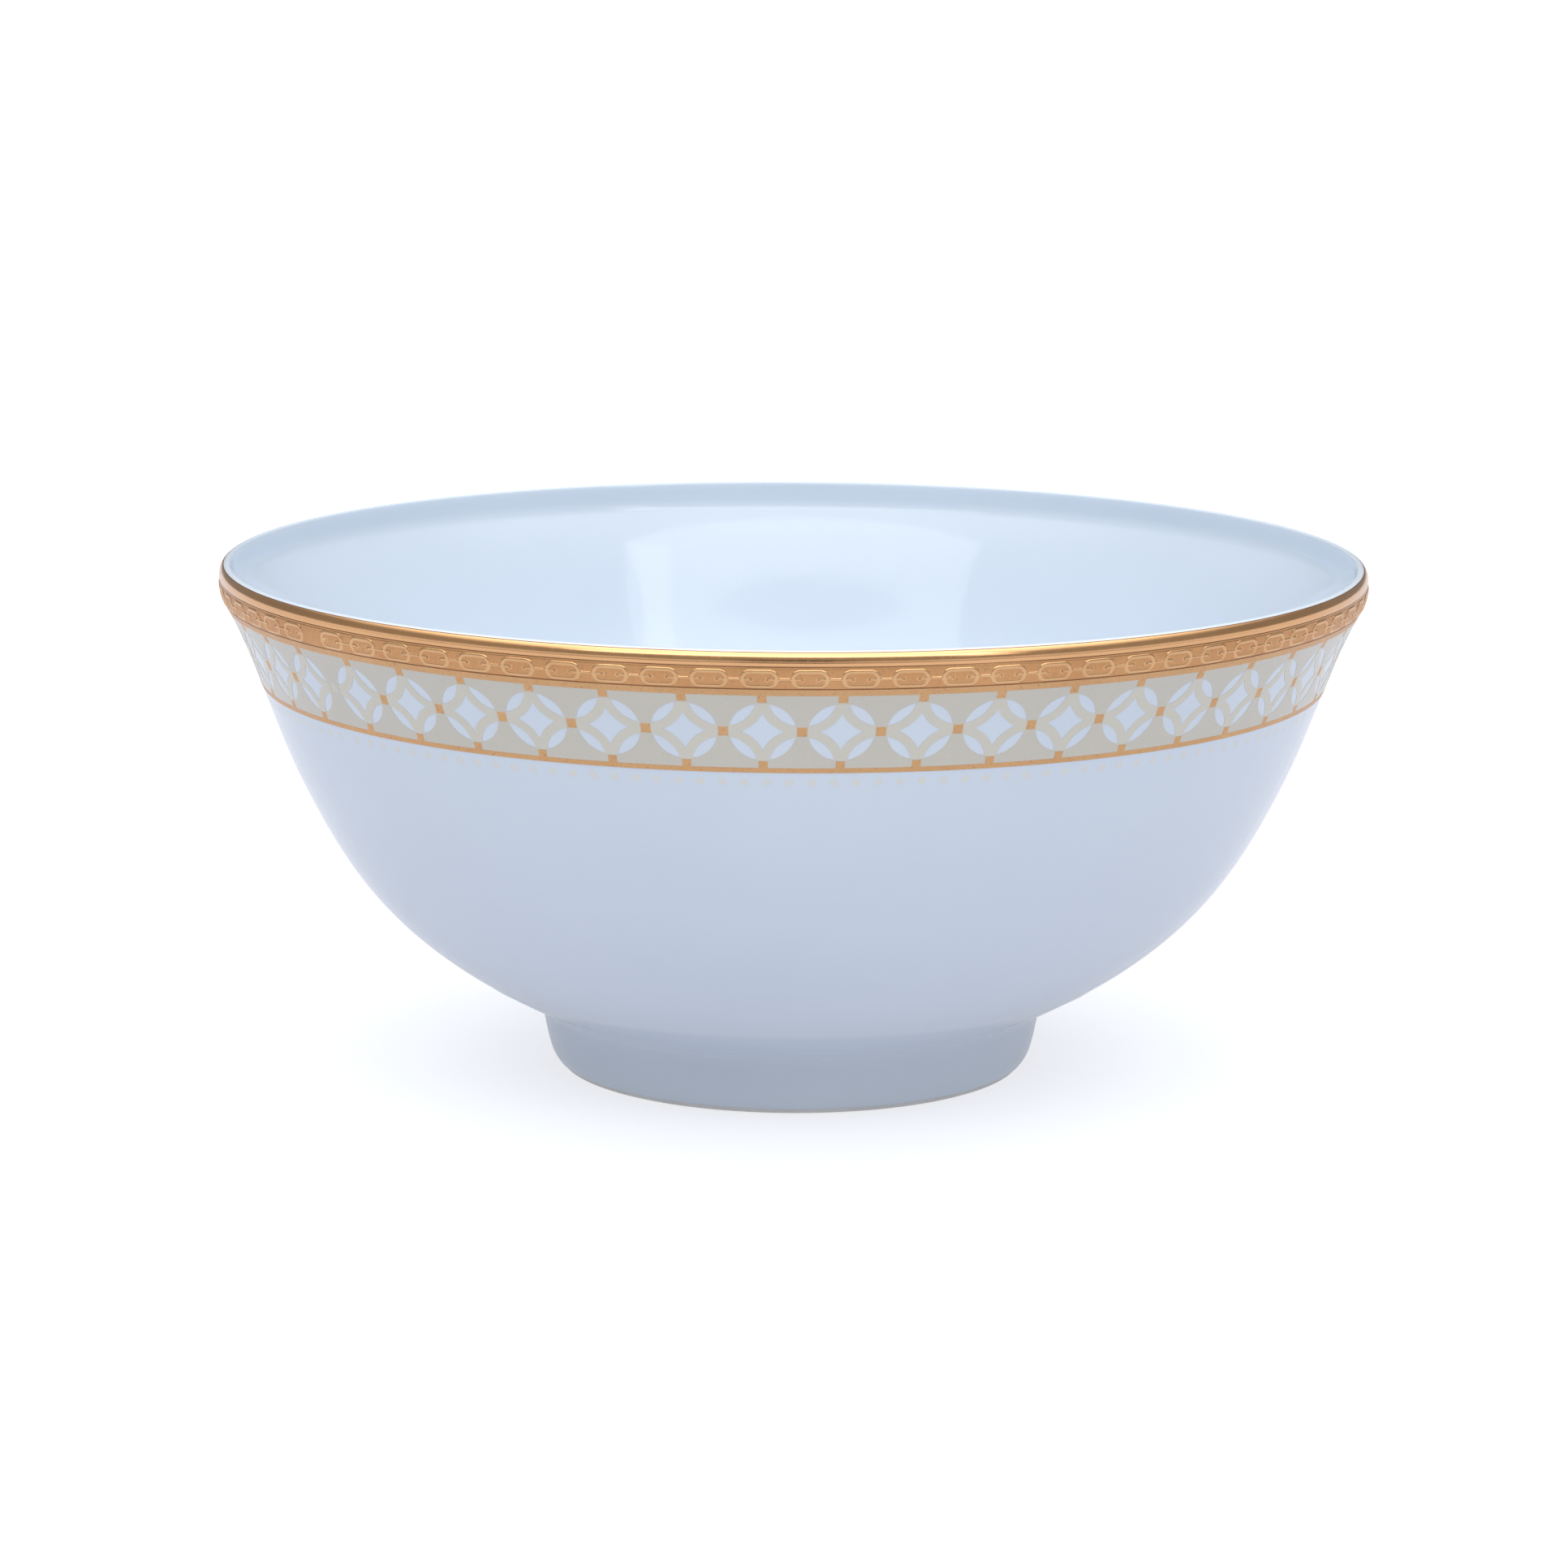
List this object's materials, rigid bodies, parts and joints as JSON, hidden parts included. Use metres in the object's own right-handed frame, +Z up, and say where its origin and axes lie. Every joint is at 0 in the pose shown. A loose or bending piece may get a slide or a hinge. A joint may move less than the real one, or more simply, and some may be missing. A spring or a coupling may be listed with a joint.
{
  "type": "serving bowl",
  "caption": "Round footed porcelain serving bowl with a rounded gold lip, an etched gold chain band and an ivory lattice border with gold squares.",
  "frame": {"origin": "centre of the ring that the foot rests on, at the underside", "axes": "+Z up along the bowl's axis of revolution; X and Y in the resting plane"},
  "size_m": [0.2296, 0.2296, 0.103],
  "materials": {
    "porcelain": "fired white porcelain body, under the glaze",
    "porcelain_foot": "fired white porcelain, bare and fine-ground on the resting edge",
    "glaze": "smooth high-gloss clear glaze over cool white porcelain",
    "burnished_gold": "burnished gold, near mirror",
    "etched_gold": "acid-etched matte gold",
    "chain_gold": "satin gold relief",
    "satin_gold": "satin gold",
    "ivory_enamel": "glossy ivory on-glaze enamel",
    "pale_enamel": "thin, glossy pale ivory enamel"
  },
  "bodies": {
    "root": {"bowl_body": "porcelain", "foot_ring": "porcelain_foot", "glaze_coat": "glaze", "gold_rim": "burnished_gold", "etched_gold_band": "etched_gold", "gold_chain_relief": "chain_gold", "upper_gold_line": "satin_gold", "ivory_lattice_band": "ivory_enamel", "gold_squares": "satin_gold", "lower_gold_line": "satin_gold", "ivory_dot_border": "pale_enamel"}
  },
  "joints": []
}
